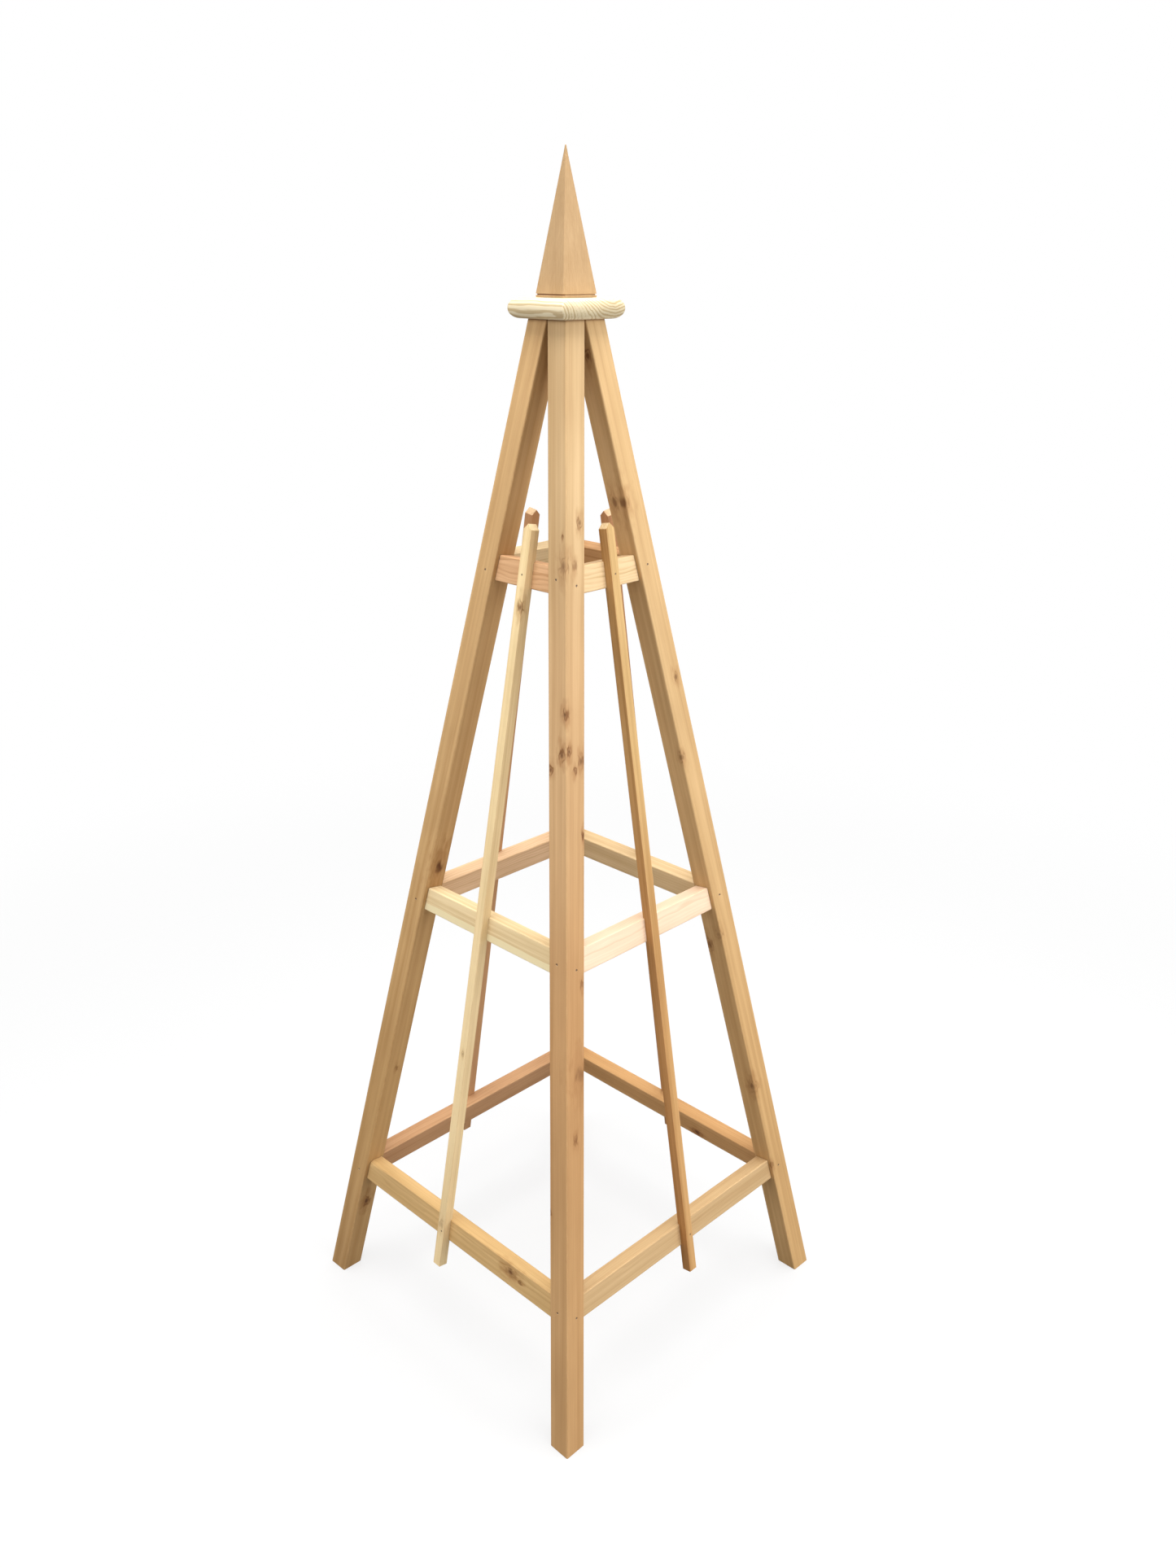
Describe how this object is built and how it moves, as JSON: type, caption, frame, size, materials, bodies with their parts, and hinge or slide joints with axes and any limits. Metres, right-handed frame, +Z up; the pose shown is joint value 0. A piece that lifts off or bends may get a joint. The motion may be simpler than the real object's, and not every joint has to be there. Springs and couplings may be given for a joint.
{
  "type": "garden obelisk",
  "caption": "Freestanding pyramid plant support: leaning square cedar legs joined by tiers of rails, a climbing slat on each side, a rounded square collar and a pyramid finial.",
  "frame": {"origin": "on the ground at the centre of the four feet", "axes": "+Z up; the four sides face along X and Y, with the front side facing -Y and the right side facing +X"},
  "size_m": [0.6096, 0.6096, 1.8288],
  "materials": {
    "leg_cedar": "planed honey cedar with knots, unfinished",
    "rail_cedar": "planed cedar from pale cream to pink, unfinished",
    "slat_cedar": "planed pale cedar, unfinished",
    "collar_wood": "pale softwood with a rounded edge, unfinished",
    "finial_cedar": "straight-grained pinkish cedar, unfinished",
    "fastener_steel": "bright steel nails, brads and screws"
  },
  "bodies": {
    "root": {"leg_front_right": "leg_cedar", "leg_back_right": "leg_cedar", "leg_back_left": "leg_cedar", "leg_front_left": "leg_cedar", "rail_lower_front": "rail_cedar", "rail_lower_right": "rail_cedar", "rail_lower_back": "rail_cedar", "rail_lower_left": "rail_cedar", "rail_middle_front": "rail_cedar", "rail_middle_right": "rail_cedar", "rail_middle_back": "rail_cedar", "rail_middle_left": "rail_cedar", "rail_upper_front": "rail_cedar", "rail_upper_right": "rail_cedar", "rail_upper_back": "rail_cedar", "rail_upper_left": "rail_cedar", "slat_front": "slat_cedar", "slat_right": "slat_cedar", "slat_back": "slat_cedar", "slat_left": "slat_cedar", "collar": "collar_wood", "finial": "finial_cedar", "rail_nail_lower_front_left": "fastener_steel", "rail_nail_lower_front_right": "fastener_steel", "rail_nail_lower_right_left": "fastener_steel", "rail_nail_lower_right_right": "fastener_steel", "rail_nail_lower_back_left": "fastener_steel", "rail_nail_lower_back_right": "fastener_steel", "rail_nail_lower_left_left": "fastener_steel", "rail_nail_lower_left_right": "fastener_steel", "rail_nail_middle_front_left": "fastener_steel", "rail_nail_middle_front_right": "fastener_steel", "rail_nail_middle_right_left": "fastener_steel", "rail_nail_middle_right_right": "fastener_steel", "rail_nail_middle_back_left": "fastener_steel", "rail_nail_middle_back_right": "fastener_steel", "rail_nail_middle_left_left": "fastener_steel", "rail_nail_middle_left_right": "fastener_steel", "rail_nail_upper_front_left": "fastener_steel", "rail_nail_upper_front_right": "fastener_steel", "rail_nail_upper_right_left": "fastener_steel", "rail_nail_upper_right_right": "fastener_steel", "rail_nail_upper_back_left": "fastener_steel", "rail_nail_upper_back_right": "fastener_steel", "rail_nail_upper_left_left": "fastener_steel", "rail_nail_upper_left_right": "fastener_steel", "slat_brad_lower_front": "fastener_steel", "slat_brad_lower_right": "fastener_steel", "slat_brad_lower_back": "fastener_steel", "slat_brad_lower_left": "fastener_steel", "slat_brad_upper_front": "fastener_steel", "slat_brad_upper_right": "fastener_steel", "slat_brad_upper_back": "fastener_steel", "slat_brad_upper_left": "fastener_steel", "collar_screw_front_right": "fastener_steel", "collar_screw_back_right": "fastener_steel", "collar_screw_back_left": "fastener_steel", "collar_screw_front_left": "fastener_steel", "finial_dowel_screw": "fastener_steel"}
  },
  "joints": []
}
